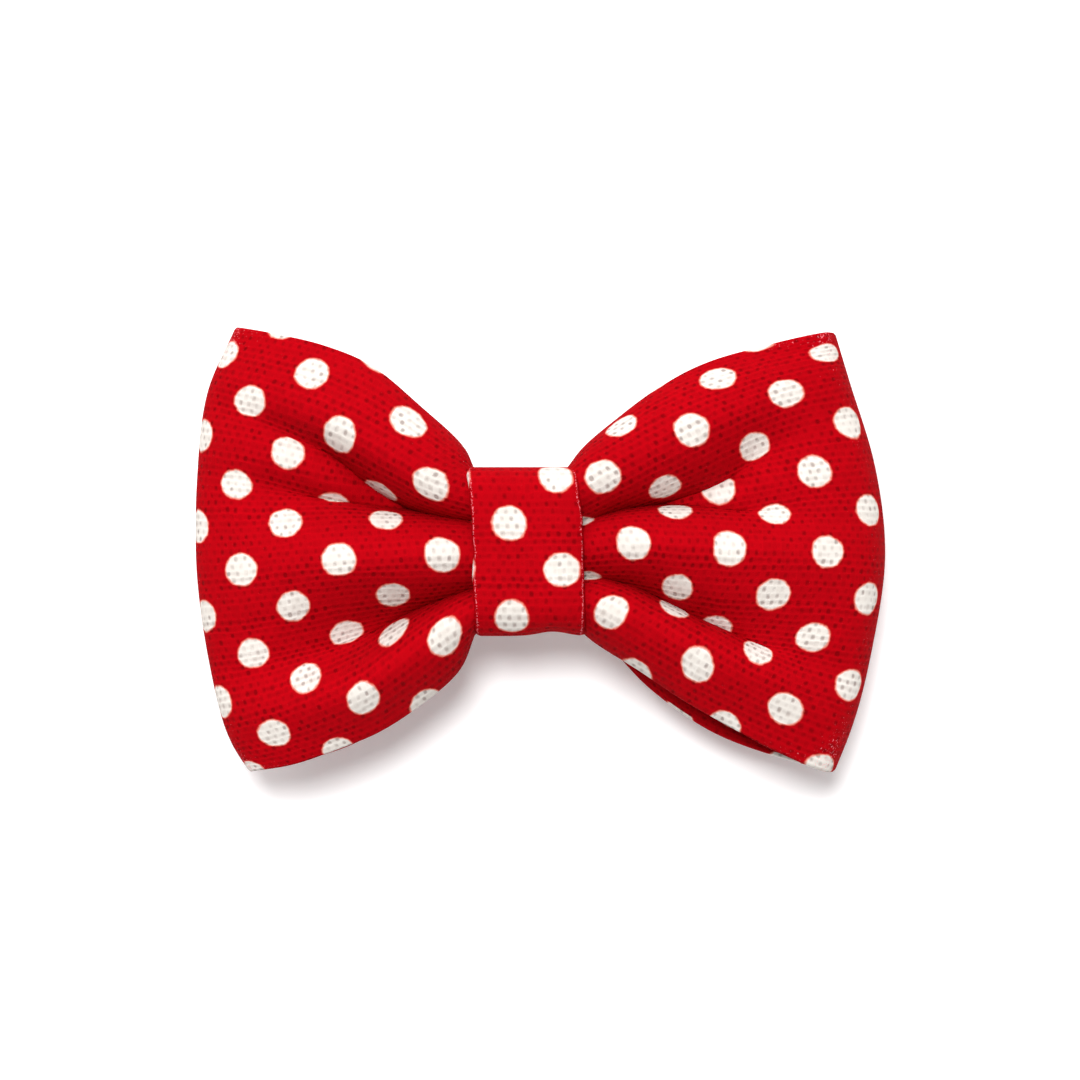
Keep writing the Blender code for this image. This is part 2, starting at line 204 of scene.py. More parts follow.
def makeWeaveGroup():
    # a plain weave, in mm: yarn heights, the gaps between the rows (their depth, which the cotton also paints into
    # its colour as shade), each yarn's own random shade of colour
    group, given, out = startGroup(
        "plainWeave",
        (("Cloth", "Vector"), ("WarpPitch", "Float"), ("WeftPitch", "Float"),
         ("Wander", "Float")),
        (("Height", "Float"), ("GapDepthAndShade", "Float"), ("Shade", "Float"), ("Crossing", "Vector")))
    drift = cloudy(group, given["Cloth"], 0.35, 2.0, noise_dimensions="2D")
    moved = vectorCalc(group, "SUBTRACT", drift["Color"], (0.5, 0.5, 0.5))
    spread = xyz(group, given["Wander"], given["Wander"], 0.0)
    wandered = vectorCalc(group, "ADD", given["Cloth"], vectorCalc(group, "MULTIPLY", moved, spread))
    pitch = xyz(group, given["WarpPitch"], given["WeftPitch"], 1.0)
    counted = vectorCalc(group, "DIVIDE", wandered, pitch)
    cell = vectorCalc(group, "FLOOR", counted)
    within = addNode(group, "ShaderNodeSeparateXYZ", Vector=vectorCalc(group, "FRACTION", counted)).outputs
    index = addNode(group, "ShaderNodeSeparateXYZ", Vector=cell).outputs

    def yarnProfile(share):
        centred = calc(group, "MULTIPLY_ADD", share, 2.0, -1.0)
        return calc(group, "SUBTRACT", 1.0, calc(group, "MULTIPLY", centred, centred))

    warp, weft = yarnProfile(within[0]), yarnProfile(within[1])
    parity = calc(group, "FLOORED_MODULO", calc(group, "ADD", index[0], index[1]), 2.0)
    warpShade = scatter(group, "1D", W=index[0])
    weftShade = scatter(group, "1D", W=calc(group, "ADD", index[1], 71.3))
    crossShade = scatter(group, "2D", Vector=cell)
    yarnShade = addNode(group, "ShaderNodeMix", Factor=parity, A=warpShade, B=weftShade).outputs[0]
    # every other crossing is a pit, and a shallow groove joins the pits of one row; their depth drives the bump and
    # is also painted into the colour as shade
    pitDepth = calc(group, "MULTIPLY_ADD", crossShade, 0.9, 0.15)
    grooveDepth = calc(group, "MULTIPLY_ADD", weftShade, 0.45, 0.10)
    pit = product(group, calc(group, "SUBTRACT", 1.0, parity), warp, calc(group, "POWER", weft, 1.4), pitDepth)
    groove = product(group, weft, weft, grooveDepth)
    patchy = cloudy(group, given["Cloth"], 0.8, 3.0, noise_dimensions="2D")["Fac"]
    uneven = rampBetween(group, patchy, 0.30, 0.66, 0.35, 1.0)
    gapDepthAndShade = calc(group, "MINIMUM", product(group, calc(group, "ADD", pit, groove), uneven), 1.0)
    half = vectorCalc(group, "ADD", cell, (0.5, 0.5, 0.0))
    feed(group, calc(group, "SUBTRACT", 1.0, gapDepthAndShade), out["Height"])
    feed(group, gapDepthAndShade, out["GapDepthAndShade"])
    feed(group, addNode(group, "ShaderNodeMix", Factor=0.45, A=yarnShade, B=crossShade).outputs[0], out["Shade"])
    feed(group, vectorCalc(group, "MULTIPLY", half, pitch), out["Crossing"])
    return group


def makeSpotGroup():
    # a staggered field of round spots, in mm, whose edge follows the yarn crossings
    group, given, out = startGroup(
        "staggeredSpots",
        (("Cloth", "Vector"), ("Crossing", "Vector"), ("Across", "Float"), ("Up", "Float"),
         ("Radius", "Float"), ("Jagged", "Float")),
        (("Spot", "Float"), ("Rim", "Float")))
    drift = cloudy(group, given["Cloth"], 0.9, 3.0, noise_dimensions="2D")["Fac"]
    place = addNode(group, "ShaderNodeMix", {"data_type": "VECTOR"})
    feed(group, given["Jagged"], place.inputs[0])
    feed(group, given["Cloth"], place.inputs[4])
    feed(group, given["Crossing"], place.inputs[5])
    place = place.outputs[1]
    repeat = vectorCalc(group, "MULTIPLY", xyz(group, given["Across"], given["Up"], 0.5), (2, 2, 2))
    reach = []
    for shift in (0.0, 0.5):
        counted = vectorCalc(group, "DIVIDE", place, repeat)
        shared = vectorCalc(group, "ADD", counted, (0.5 + shift, 0.5 + shift, 0.0))
        centred = vectorCalc(group, "SUBTRACT", vectorCalc(group, "FRACTION", shared), (0.5, 0.5, 0.0))
        apart = vectorCalc(group, "MULTIPLY", vectorCalc(group, "MULTIPLY", centred, repeat), (1, 1, 0))
        reach.append(vectorCalc(group, "LENGTH", apart))
    nearest = calc(group, "MINIMUM", *reach)
    nearest = calc(group, "ADD", nearest, calc(group, "MULTIPLY_ADD", drift, 0.34, -0.17))
    past = calc(group, "SUBTRACT", nearest, given["Radius"])
    feed(group, rampBetween(group, past, -0.14, 0.12, 1.0, 0.0), out["Spot"])
    inner = rampBetween(group, past, -0.16, -0.02)
    outer = rampBetween(group, past, 0.02, 0.20, 1.0, 0.0)
    feed(group, product(group, inner, outer), out["Rim"])
    return group


def makeSpeckGroup():
    # small worn specks where the surface is rubbed, Rubbed running from 0 to 1
    group, given, out = startGroup(
        "rubbedSpecks",
        (("Place", "Vector"), ("Size", "Float"), ("Rubbed", "Float")),
        (("Mask", "Float"),))
    fineness = calc(group, "DIVIDE", 1.0, given["Size"])
    grain = addNode(group, "ShaderNodeTexNoise", Vector=given["Place"], Scale=fineness, Detail=3.0, Roughness=0.6)
    limit = calc(group, "MULTIPLY_ADD", given["Rubbed"], -0.34, 0.84)
    feed(group, rampBetween(group, grain.outputs["Fac"], limit, calc(group, "ADD", limit, 0.05)), out["Mask"])
    return group


def makeMetalGroup():
    # drawn, tumbled and plated sheet: fine scratches both ways and a cloudy gloss
    group, given, out = startGroup(
        "platedWear",
        (("Place", "Vector"), ("Grain", "Float"), ("Low", "Float"), ("High", "Float")),
        (("Roughness", "Float"), ("Height", "Float"), ("Tarnish", "Float")))
    cloud = cloudy(group, given["Place"], 420.0, 4.0)["Fac"]
    fineness = product(group, given["Grain"], 9000.0)
    streaks = []
    for stretch in ((0.10, 1.0, 1.0), (1.0, 1.0, 0.08)):
        drawn = vectorCalc(group, "MULTIPLY", given["Place"], stretch)
        streaks.append(cloudy(group, drawn, fineness, 3.0)["Fac"])
    scratch = product(group, *streaks)
    shine = calc(group, "ADD", product(group, cloud, 0.6), product(group, scratch, 0.8))
    feed(group, rampBetween(group, shine, 0.25, 0.75, given["Low"], given["High"]), out["Roughness"])
    feed(group, scratch, out["Height"])
    feed(group, rampBetween(group, cloud, 0.52, 0.75), out["Tarnish"])
    return group


def makeTwistGroup():
    # the lay of the fibres in a spun thread
    group, given, out = startGroup(
        "spunThread",
        (("Place", "Vector"), ("Lay", "Float")),
        (("Height", "Float"), ("Shade", "Float")))
    millimetres = vectorCalc(group, "MULTIPLY", given["Place"], (1000, 1000, 1000))
    turns = calc(group, "DIVIDE", 1.0, given["Lay"])
    wave = addNode(group, "ShaderNodeTexWave", {"bands_direction": "DIAGONAL"},
                   Vector=millimetres, Scale=turns, Distortion=2.0, Detail=2.0).outputs["Fac"]
    fibre = cloudy(group, millimetres, 6.0, 4.0)["Fac"]
    feed(group, calc(group, "MULTIPLY_ADD", fibre, 0.5, wave), out["Height"])
    feed(group, fibre, out["Shade"])
    return group


weaveGroup, spotGroup, speckGroup = makeWeaveGroup(), makeSpotGroup(), makeSpeckGroup()
metalGroup, twistGroup = makeMetalGroup(), makeTwistGroup()

print("materials")

cotton = {
    "warpPitch": 0.51,
    "weftPitch": 0.82,
    "spotAcross": 5.56,
    "spotUp": 5.12,
    "spotRadius": 1.84,
    "red": (0.43, 0.0002, 0.0040, 1),
    "deepRed": (0.31, 0.0002, 0.0030, 1),
    # the darker colours for the weave's gaps are painted shade for its pits and grooves
    "redGapPaintedShade": (0.12, 0.0001, 0.0012, 1),
    "white": (0.78, 0.74, 0.69, 1),
    "greyWhite": (0.60, 0.55, 0.50, 1),
    "whiteGapPaintedShade": (0.28, 0.22, 0.20, 1),
    "rim": (0.80, 0.20, 0.13, 1),
    "speck": (0.82, 0.20, 0.24, 1),
    "paintedGapShadeInRed": 0.75,  # how much of each colour's painted shade in the gaps, rim and specks shows
    "paintedGapShadeInWhite": 0.85,
    "rimShare": 0.45,
    "speckShare": 0.75,
    "wander": 0.35,
    "jagged": 0.06,
    "shine": 0.03,
    "gloss": (0.80, 0.96),
    "bump": 0.6,
}
spunCotton = {"roughness": 0.62, "sheen": 0.2, "lay": 0.35, "bump": 0.6, "bumpHeight": 0.03}
nickel = {"tarnish": 0.5, "dulled": 0.72, "bump": 0.25, "bumpHeight": 0.01}


def startMaterial(name, roughness, metallic=0.0):
    material = bpy.data.materials.new(name)
    material.use_nodes = True
    tree = material.node_tree
    shader = tree.nodes["Principled BSDF"]
    shader.inputs["Roughness"].default_value = roughness
    shader.inputs["Metallic"].default_value = metallic
    return material, tree, shader


def addBump(tree, shader, height, strength, distance):
    bump = addNode(tree, "ShaderNodeBump", Strength=strength, Distance=distance * mm, Height=height)
    feed(tree, bump.outputs[0], shader.inputs["Normal"])


def makeCotton(name, speckSize, bumpHeight):
    material, tree, shader = startMaterial(name, 0.88)
    shader.inputs["Specular IOR Level"].default_value = cotton["shine"]
    flat = addNode(tree, "ShaderNodeUVMap", {"uv_map": "cloth"}).outputs[0]
    place = objectPlace(tree)
    cloth = vectorCalc(tree, "MULTIPLY", flat, (100, 100, 0))
    weave = placeGroup(tree, weaveGroup, Cloth=cloth, WarpPitch=cotton["warpPitch"],
                       WeftPitch=cotton["weftPitch"], Wander=cotton["wander"])
    spots = placeGroup(tree, spotGroup, Cloth=cloth, Crossing=weave["Crossing"], Across=cotton["spotAcross"],
                       Up=cotton["spotUp"], Radius=cotton["spotRadius"], Jagged=cotton["jagged"])
    rubbed = addNode(tree, "ShaderNodeAttribute", {"attribute_name": "rubbed"}).outputs["Fac"]
    millimetres = vectorCalc(tree, "MULTIPLY", place, (1000, 1000, 1000))
    specks = placeGroup(tree, speckGroup, Place=millimetres, Size=speckSize, Rubbed=rubbed)
    faded = cloudy(tree, millimetres, 0.12, 3.0)["Fac"]
    shade = addNode(tree, "ShaderNodeMix", Factor=0.35, A=weave["Shade"], B=faded).outputs[0]
    red = mixColor(tree, shade, cotton["deepRed"], cotton["red"])
    # painted shade: the weave's pits and grooves darken the red and the white
    red = mixColor(tree, product(tree, weave["GapDepthAndShade"], cotton["paintedGapShadeInRed"]), red, cotton["redGapPaintedShade"])
    white = mixColor(tree, shade, cotton["greyWhite"], cotton["white"])
    white = mixColor(tree, product(tree, weave["GapDepthAndShade"], cotton["paintedGapShadeInWhite"]), white, cotton["whiteGapPaintedShade"])
    color = mixColor(tree, spots["Spot"], red, white)
    color = mixColor(tree, product(tree, spots["Rim"], cotton["rimShare"]), color, cotton["rim"])
    color = mixColor(tree, product(tree, specks["Mask"], cotton["speckShare"]), color, cotton["speck"])
    feed(tree, color, shader.inputs["Base Color"])
    fuzz = cloudy(tree, millimetres, 5.5, 4.0)["Fac"]
    height = calc(tree, "MULTIPLY_ADD", fuzz, 0.35, weave["Height"])
    addBump(tree, shader, height, cotton["bump"], bumpHeight)
    feed(tree, rampBetween(tree, fuzz, 0.2, 0.8, *cotton["gloss"]), shader.inputs["Roughness"])
    return material


def makeThreadMaterial(name, dark, light):
    material, tree, shader = startMaterial(name, spunCotton["roughness"])
    shader.inputs["Sheen Weight"].default_value = spunCotton["sheen"]
    place = objectPlace(tree)
    spun = placeGroup(tree, twistGroup, Place=place, Lay=spunCotton["lay"])
    feed(tree, mixColor(tree, spun["Shade"], dark, light), shader.inputs["Base Color"])
    addBump(tree, shader, spun["Height"], spunCotton["bump"], spunCotton["bumpHeight"])
    return material


def makeNickel(name, low, high, tint):
    material, tree, shader = startMaterial(name, 0.3, 1.0)
    place = objectPlace(tree)
    plated = placeGroup(tree, metalGroup, Place=place, Grain=1.0, Low=low, High=high)
    dull = tuple(channel * nickel["dulled"] for channel in tint[:3]) + (1,)
    color = mixColor(tree, product(tree, plated["Tarnish"], nickel["tarnish"]), tint, dull)
    feed(tree, color, shader.inputs["Base Color"])
    feed(tree, plated["Roughness"], shader.inputs["Roughness"])
    addBump(tree, shader, plated["Height"], nickel["bump"], nickel["bumpHeight"])
    return material


bowCotton = makeCotton("bowCotton", 0.20, 0.16)
bandCotton = makeCotton("bandCotton", 0.18, 0.16)
redThread = makeThreadMaterial("redThread", (0.30, 0.001, 0.004, 1), (0.55, 0.004, 0.012, 1))
sheetNickel = makeNickel("sheetNickel", 0.18, 0.42, (0.78, 0.76, 0.72, 1))
wireNickel = makeNickel("wireNickel", 0.15, 0.30, (0.66, 0.65, 0.63, 1))


def makeBackdrop():
    material, tree, shader = startMaterial("palePaper", 0.95)
    shader.inputs["Specular IOR Level"].default_value = 0.0
    shader.inputs["Emission Color"].default_value = (1, 1, 1, 1)
    shader.inputs["Emission Strength"].default_value = studio["backdropGlow"]
    grain = cloudy(tree, objectPlace(tree), 900.0, 2.0)["Fac"]
    feed(tree, mixColor(tree, grain, *studio["backdropTones"]), shader.inputs["Base Color"])
    clear = tree.nodes.new("ShaderNodeBsdfTransparent")
    sides = tree.nodes.new("ShaderNodeMixShader")
    feed(tree, tree.nodes.new("ShaderNodeNewGeometry").outputs["Backfacing"], sides.inputs[0])
    feed(tree, shader.outputs[0], sides.inputs[1])
    feed(tree, clear.outputs[0], sides.inputs[2])
    feed(tree, sides.outputs[0], tree.nodes["Material Output"].inputs["Surface"])
    half, y = studio["backdropSize"] / 2, studio["backdropBehind"] * mm
    mesh = bpy.data.meshes.new("backdrop")
    corners = [(-half, y, -half), (half, y, -half), (half, y, half), (-half, y, half)]
    mesh.from_pydata(corners, [], [(0, 1, 2, 3)])
    mesh.materials.append(material)
    backdrop = bpy.data.objects.new("backdrop", mesh)
    bpy.context.scene.collection.objects.link(backdrop)


makeCamera()
makeLights()
makeBackdrop()


def addPiece(name, mesh, material):
    piece = bpy.data.objects.new(name, mesh)
    mesh.materials.clear()
    mesh.materials.append(material)
    bpy.context.scene.collection.objects.link(piece)
    return piece


def smoothThrough(stations, values, at, crested=False):
    # a smooth curve through the values; crested keeps every high and low exactly at its station
    stations, values = np.asarray(stations, float), np.asarray(values, float)
    spread = (-1,) + (1,) * (values.ndim - 1)
    step = np.diff(stations).reshape(spread)
    slope = np.diff(values, axis=0) / step
    between = (slope[:-1] * step[1:] + slope[1:] * step[:-1]) / (step[1:] + step[:-1])
    tangent = np.concatenate([slope[:1], between, slope[-1:]])
    if crested:
        tangent[1:-1][slope[:-1] * slope[1:] <= 0] = 0
    index = np.clip(np.searchsorted(stations, at, side="right") - 1, 0, len(stations) - 2)
    width = step[index]
    t = (np.asarray(at, float) - stations[index]).reshape(spread) / width
    return ((1 + 2 * t) * (1 - t) ** 2 * values[index] + t * (1 - t) ** 2 * width * tangent[index]
            + t * t * (3 - 2 * t) * values[index + 1] + t * t * (t - 1) * width * tangent[index + 1])


def softStep(low, high, value):
    t = np.clip((np.asarray(value, float) - low) / (high - low), 0, 1)
    return t * t * (3 - 2 * t)


def fallOff(distance, width):
    return np.exp(-(distance / width) ** 2)


def clothNoise(u, v, pattern):
    # the pattern is how fast the noise changes along and up the cloth, and its slice
    return noise.noise(Vector((u * pattern[0], v * pattern[1], pattern[2])))


def softened(grid, passes):
    for _ in range(passes):
        for axis in (0, 1):
            rolled = np.moveaxis(grid, axis, 0)
            rolled[1:-1] = 0.25 * rolled[:-2] + 0.5 * rolled[1:-1] + 0.25 * rolled[2:]
    return grid


def clothMesh(name, middle, along, across, thickness, rubbed, edgeRubbed=(1, 1, 1)):
    # a two-sided piece of cloth with round edges, from its middle surface; along and across are its flat
    # places in mm, the thickness may differ along it, and edgeRubbed is the wear round each edge, face to back
    runs = [np.gradient(middle, axis=axis) for axis in (0, 1)]
    normal = np.cross(runs[0], runs[1])
    normal /= np.linalg.norm(normal, axis=2, keepdims=True)
    columns, rows = len(along), len(across)
    half = np.full((columns, 1), 0.5) * np.reshape(thickness, (-1, 1))
    caps = len(edgeRubbed)
    capShares = (np.arange(caps) + 1) / (caps + 1)
    ends = {}
    for key, edge, inner in (("start", 0, 1), ("end", -1, -2)):
        outward = middle[:, edge] - middle[:, inner]
        outward /= np.linalg.norm(outward, axis=1, keepdims=True)
        turns = [math.pi * (k + 1) / (caps + 1) for k in range(caps)]
        cap = [middle[:, edge] + half * (math.cos(a) * normal[:, edge] + math.sin(a) * outward) for a in turns]
        ends[key] = np.stack(cap, axis=1)
    away = half[:, :, None] * normal
    ring = np.concatenate([middle + away, ends["end"], (middle - away)[:, ::-1], ends["start"][:, ::-1]], axis=1)
    size = ring.shape[1]
    capLength = math.pi * float(half.mean())
    flatRing = np.concatenate([across, across[-1] + capLength * capShares,
                               across[-1] + capLength + across[-1] - across[::-1],
                               across[0] - capLength * (1 - capShares)])
    i, k = np.meshgrid(np.arange(columns - 1), np.arange(size), indexing="ij")
    nextK = (k + 1) % size
    quads = np.stack([i * size + k, (i + 1) * size + k, (i + 1) * size + nextK, i * size + nextK], axis=-1)
    first = np.where(k == 2 * rows + caps - 1, across[0] - capLength, flatRing[k])
    flatU = np.stack([along[i], along[i + 1], along[i + 1], along[i]], axis=-1).reshape(-1)
    flatV = np.stack([first, first, flatRing[nextK], flatRing[nextK]], axis=-1).reshape(-1)
    faces = quads.reshape(-1, 4).tolist()
    capStart = len(faces)
    for column, order in ((0, 1), (columns - 1, -1)):
        base = column * size
        back = base + 2 * rows + caps - 1
        strip = [[base + j, base + j + 1, back - j - 1, back - j] for j in range(rows - 1)]
        strip.append([base + rows - 1 + k for k in range(caps + 2)])
        strip.append([back + k for k in range(caps + 1)] + [base])
        faces += [face[::order] for face in strip]
    mesh = bpy.data.meshes.new(name)
    mesh.from_pydata((ring.reshape(-1, 3) * mm).tolist(), [], faces)
    flat = mesh.uv_layers.new(name="cloth")
    uv = np.zeros((len(mesh.loops), 2))
    uv[:len(flatU), 0], uv[:len(flatU), 1] = flatU / 100, flatV / 100
    for polygon in mesh.polygons[capStart:]:
        for loop in polygon.loop_indices:
            vertex = mesh.loops[loop].vertex_index
            uv[loop] = along[vertex // size] / 100, flatRing[vertex % size] / 100
    flat.data.foreach_set("uv", uv.reshape(-1).astype(np.float32))
    edgeRubbed = np.array(edgeRubbed, float)
    mask = np.concatenate([rubbed, np.maximum(rubbed[:, -1:], 0.01) * edgeRubbed, 0.3 * rubbed[:, ::-1],
                           np.maximum(rubbed[:, :1], 0.01) * edgeRubbed[::-1]], axis=1)
    attribute = mesh.attributes.new("rubbed", "FLOAT", "POINT")
    attribute.data.foreach_set("value", mask.reshape(-1).astype(np.float32))
    mesh.shade_smooth()
    return mesh


print("bow")

# The bow is one flat tube of cloth folded into a loop. Its folds are laid out as lines on the flat cloth:
# rows run across it at a height up the cloth, stations run out from its centre, all in mm.
bow = {
    "thickness": 0.95,
    "grid": 0.55,
    "stations": (6.4, 11.1, 16.7, 22.2, 27.8, 33.4, 39.7),
    "rows": (-25.3, -20.5, -10.3, 0.0, 10.3, 20.5, 29.1),
    "centre": ((-2.0, -6.6), (-1.4, -4.9), (-0.2, -3.2), (0.0, 0.1), (-0.8, 3.0), (-2.4, 5.4), (-2.6, 7.2)),
    "left": (
        ((7.2, -8.0), (9.2, -12.7), (13.2, -16.4), (18.0, -19.6), (22.8, -21.6), (27.6, -23.3), (32.4, -24.2)),
        ((6.4, -6.2), (11.0, -9.3), (15.3, -12.8), (19.7, -16.0), (24.6, -18.3), (29.6, -20.1), (34.3, -21.2)),
        ((6.4, -4.0), (11.0, -5.3), (16.4, -7.0), (21.8, -8.8), (27.0, -10.2), (32.0, -11.3), (36.8, -12.0)),
        ((6.4, -0.4), (10.9, -0.3), (16.6, -0.6), (22.2, -0.9), (27.8, -1.4), (33.1, -2.0), (38.1, -2.3)),
        ((6.6, 3.3), (12.0, 4.1), (17.5, 4.9), (23.0, 5.8), (28.6, 6.8), (33.9, 7.6), (38.1, 8.0)),
        ((7.4, 6.0), (12.6, 7.8), (17.4, 10.6), (22.1, 13.2), (27.2, 15.2), (32.2, 16.8), (36.9, 17.8)),
        ((7.4, 8.4), (9.0, 11.5), (13.7, 15.9), (18.9, 20.2), (24.1, 22.5), (29.3, 23.8), (33.9, 24.7)),
    ),
    "right": (
        ((3.0, -7.2), (6.2, -9.8), (11.0, -12.8), (15.8, -16.0), (20.7, -18.8), (25.6, -21.5), (31.8, -24.2)),
        ((4.2, -5.0), (7.8, -6.4), (12.6, -9.0), (17.5, -11.7), (22.2, -14.6), (27.0, -17.2), (33.5, -19.8)),
        ((5.8, -3.0), (10.3, -4.0), (15.1, -6.2), (19.9, -8.0), (25.1, -8.9), (30.3, -9.5), (35.9, -10.2)),
        ((6.0, 0.6), (10.5, 1.0), (15.6, 0.7), (20.8, 0.3), (26.3, 0.1), (31.7, 0.0), (37.2, -0.3)),
        ((5.0, 3.4), (9.2, 4.6), (14.5, 5.8), (19.9, 6.9), (25.1, 7.9), (30.3, 8.9), (36.1, 9.5)),
        ((2.6, 6.2), (6.9, 8.6), (11.8, 11.2), (16.6, 13.6), (21.8, 15.9), (27.0, 17.7), (33.3, 19.0)),
        ((2.4, 8.2), (4.9, 11.2), (8.4, 14.2), (13.2, 17.8), (18.5, 20.6), (24.4, 22.4), (31.8, 24.1)),
    ),
    # round the side folds and along the back panel, as shares of the side fold's width and height
    "backStations": (43.6, 48.5, 57.0, 65.0, 73.0, 79.4),
    "backReach": {
        "left": (0.985, 0.87, 0.60, 0.385, 0.17, 0.004),
        "right": (1.030, 0.925, 0.62, 0.39, 0.17, 0.004),
    },
    "backSpread": (1.0, 0.97, 0.84, 0.57, 0.31, 0.28),
    "rightBottomSpread": (1.0, 0.97, 0.83, 0.62, 0.33, 0.28),
    "backSettle": (0.25, 0.6, 1, 1, 1, 1),  # how far the front's fold lines have given way to the back's
    "backLines": (-25.3, -20.5, -10.3, 0.0, 5.1, 10.3, 15.4, 20.5, 29.1),
    "backCrest": (-3.0, -2.1, -1.9, -1.9, -2.0, -2.2),
    "backCrease": (-3.0, -2.2, -2.6, -3.4, -3.6, -3.2),
    "backCreases": (0, 1, 0, 1, 0, 0, 0, 1, 0),
    # fold lines, creases and crests in turn from the lower edge up: their heights up the cloth at the centre
    # and at each station, then how far forward they stand
    "leftLines": (
        ((-25.3,) * 8, (-7.0, -7.2, -7.6, -8.2, -8.6, -8.8, -8.4, -5.8)),
        ((-20, -20, -20, -19.5, -19, -18.5, -18, -18), (-10.2, -10.7, -12.5, -13.0, -12.8, -11.6, -9.8, -5.8)),
        ((-10.3, -10.3, -10.6, -11.6, -12.6, -12.6, -12, -12), (-5.0, -4.8, -4.6, -5.8, -7.4, -8.0, -8.4, -5.6)),
        ((0,) * 8, (-10.6, -11.0, -13.0, -13.6, -13.2, -11.8, -9.8, -5.8)),
        ((10.2, 10.2, 10.1, 9.8, 10.0, 10.2, 10.2, 10.2), (-5.0, -4.8, -4.6, -5.8, -7.0, -8.2, -8.6, -5.6)),
        ((10.4, 10.4, 10.4, 11.8, 13.5, 14, 14, 14), (-5.0, -4.9, -4.8, -6.6, -9.4, -9.9, -9.3, -5.7)),
        ((10.6, 10.6, 10.7, 13.8, 17.0, 18, 18.5, 18.5), (-5.0, -4.8, -4.6, -6.2, -8.2, -8.9, -8.8, -5.6)),
        ((20.8, 20.8, 20.8, 21, 21.3, 21.5, 21.5, 21.5), (-10.2, -10.7, -12.6, -13.4, -13.0, -11.6, -9.8, -5.8)),
        ((29.1,) * 8, (-6.5, -6.8, -7.6, -9.0, -9.6, -9.4, -8.4, -5.8)),
    ),
    "rightLines": (
        ((-25.3,) * 8, (-6.8, -7.0, -7.4, -8.2, -8.8, -8.8, -8.4, -6.6)),
        ((-20, -20, -20, -19.5, -18.5, -18, -18, -18), (-10.2, -10.8, -12.4, -12.8, -12.6, -11.8, -10.2, -6.8)),
        ((-10.3, -10.3, -10.5, -11.0, -11.8, -13.2, -13.6, -13.6), (-5.0, -4.6, -4.2, -5.2, -6.8, -8.6, -9.0, -6.4)),
        ((0, 0, 0, 0, -0.3, -0.5, -0.5, -0.5), (-10.6, -11.0, -13.0, -13.6, -13.2, -12.2, -10.4, -6.8)),
        ((10.2, 10.2, 9.9, 8.4, 6.4, 5.4, 5.2, 5.2), (-5.0, -4.8, -4.6, -6.4, -8.8, -9.6, -9.5, -6.4)),
        ((10.4, 10.4, 10.2, 9.8, 9.6, 9.8, 10, 10), (-5.0, -4.9, -4.8, -6.8, -9.4, -10.1, -9.7, -6.4)),
        ((10.6, 10.6, 10.5, 10.5, 11.0, 13.2, 15, 16), (-5.0, -4.8, -4.6, -6.0, -7.2, -8.4, -8.9, -6.4)),
        ((20.8,) * 8, (-10.2, -10.7, -12.4, -13.2, -13.0, -11.8, -10.2, -6.8)),
        ((29.1,) * 8, (-6.5, -6.8, -7.4, -8.8, -9.6, -9.4, -8.6, -6.6)),
    ),
    "foldSharpness": 3.4,  # the most that a flank may steepen towards its crease
    # where the creases open out into valleys, in the lower and upper half of each wing
    "soften": {"left": ((11, 23), (20, 34)), "right": ((22, 36), (20, 32))},
    "openShare": 0.85,
    "halvesMeet": (-4, 4),  # up the cloth
    "sideFold": (36, 42),
    "frontEnds": (36, 44),
    # wrinkles and gathers: each one's noise pattern, then how deep it is
    "broad": ((0.10, 0.30, 3.1), 0.26),
    "fine": ((0.28, 0.62, 9.4), 0.104),
    "gathers": ((0.16, 1.15, 5.7), 0.256),
    "wrinkleStart": (5, 12),
    "backWrinkle": 0.35,
    "gatherStart": (2, 6),
    "gatherReach": 5.0,
    # wear and its width, along the side folds, the rims and the corners
    "sideWear": (0.5, 2.4),
    "rimWear": (0.275, 0.9),
    "cornerWear": (0.35, 6, 5),
    "cornerPlace": 37,
}


def wingLayout(side):
    # x and z of the rows, and height and depth of the fold lines, from the centre out and round to the back
    sign = -1 if side == "left" else 1
    front = np.array(bow[side], float).transpose(1, 0, 2)
    rows = np.concatenate([np.array(bow["centre"], float)[None], front * (sign, 1)])
    fold = rows[-1]
    upper = fold[:, 1] > 0
    lower = bow["rightBottomSpread"] if side == "right" else bow["backSpread"]
    for reach, top, bottom in zip(bow["backReach"][side], bow["backSpread"], lower):
        spread = np.where(upper, top, bottom)
        rows = np.concatenate([rows, (fold * np.stack([np.full(len(fold), reach), spread], axis=1))[None]])
    lines = np.array(bow[side + "Lines"], float).transpose(2, 0, 1)
    extra = []
    for share, crest, crease in zip(bow["backSettle"], bow["backCrest"], bow["backCrease"]):
        heights = lines[7, :, 0] * (1 - share) + np.array(bow["backLines"]) * share
        depths = np.where(np.array(bow["backCreases"]) == 1, crease, crest)
        extra.append(np.stack([heights, depths], axis=1))
    return rows, np.concatenate([lines, np.array(extra)])


def flankDepth(t, power):
    # how far down its flank a pleat has dropped, when the cloth keeps its length: 0 at the crest, 1 at the crease
    steps = np.linspace(0, 1, 60)
    slope = np.sqrt(np.clip(1 - (1 - steps) ** (2 * (power - 1)), 0, 1))
    total = np.concatenate([[0], np.cumsum((slope[1:] + slope[:-1]) / 2)])
    return np.interp(t, steps, total / total[-1])


